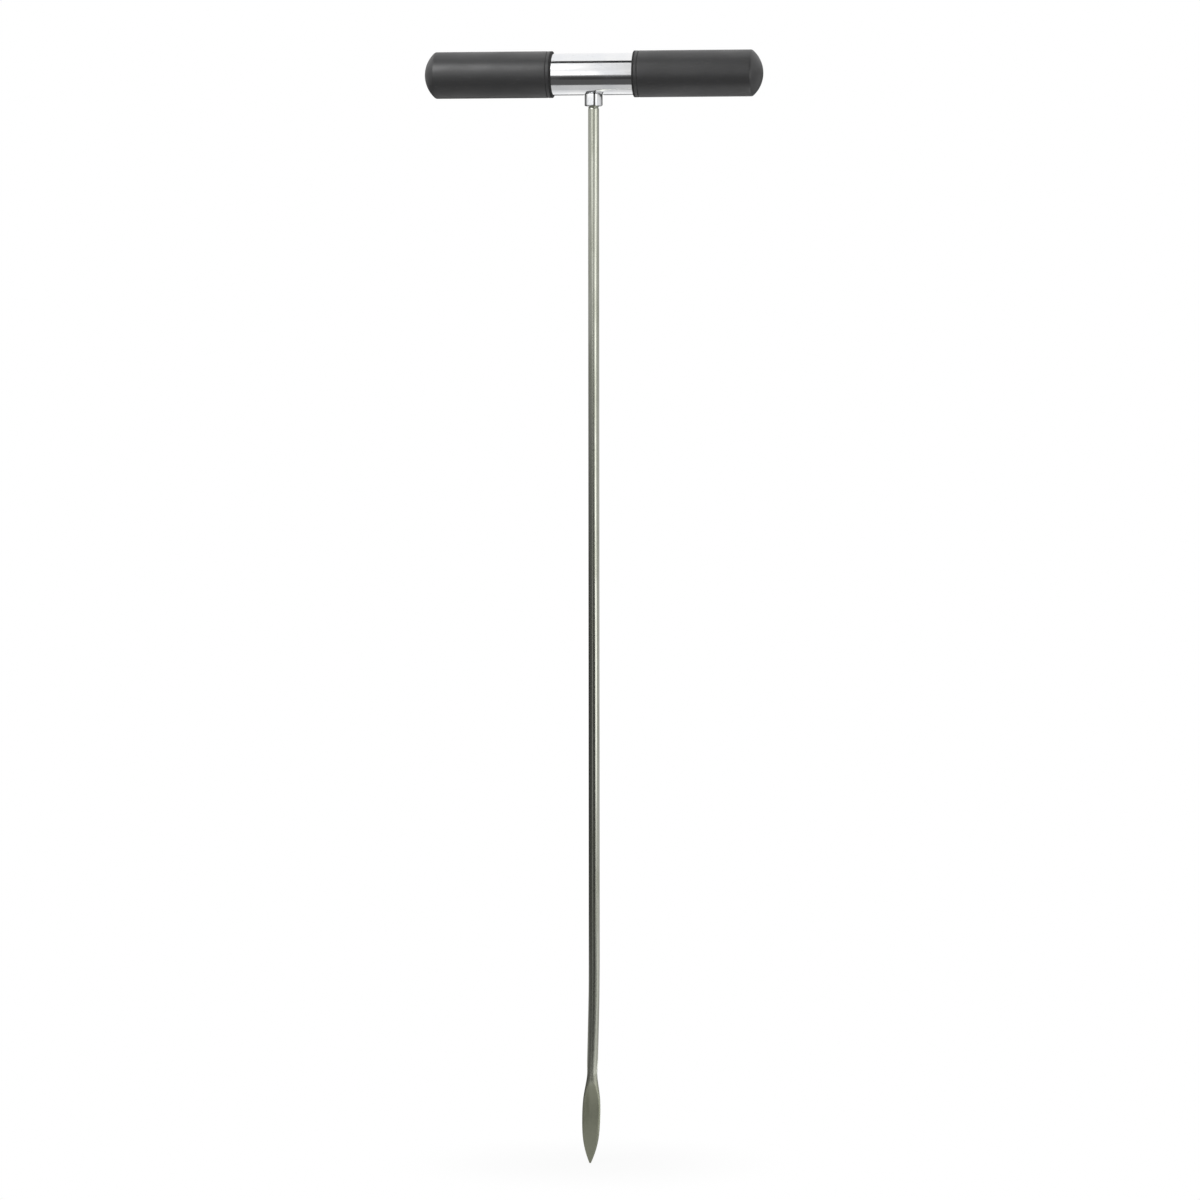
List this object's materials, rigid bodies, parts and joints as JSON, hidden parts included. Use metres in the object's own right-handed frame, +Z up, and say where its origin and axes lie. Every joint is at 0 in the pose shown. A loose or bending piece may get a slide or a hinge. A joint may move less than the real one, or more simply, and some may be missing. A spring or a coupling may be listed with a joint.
{
  "type": "probing rod",
  "caption": "T-handled steel probing rod with soft grips, screwed into the handle's tube against a lock nut and forged at the bottom into a flat leaf point.",
  "frame": {"origin": "level of the leaf's point, straight below the middle of the handle and on the axis of the upper rod", "axes": "+Z up along the rod, +X along the handle towards the right grip, -Y towards the viewer of the picture"},
  "size_m": [0.31, 0.0424, 1.0152],
  "materials": {
    "zinc_tube": "bright zinc plating",
    "core_steel": "turned",
    "zinc_nut": "zinc plating",
    "rod_steel": "drawn, satin",
    "soft_black": "matt"
  },
  "bodies": {
    "handle": {"handle_tube": "zinc_tube", "tapped_core": "core_steel", "left_grip": "soft_black", "right_grip": "soft_black"},
    "rod": {"probe_rod": "rod_steel"},
    "nut": {"lock_nut": "zinc_nut"}
  },
  "joints": [
    {"name": "rod_turn", "type": "hinge", "parent": "handle", "child": "rod", "pos_m": [0, 0, 0.99396], "axis": [0, 0, -1], "range_deg": [-180, 180]},
    {"name": "lock_nut_turn", "type": "hinge", "parent": "rod", "child": "nut", "pos_m": [0, 0, 0.97076], "axis": [0, 0, -1], "range_deg": [0, 270]}
  ]
}
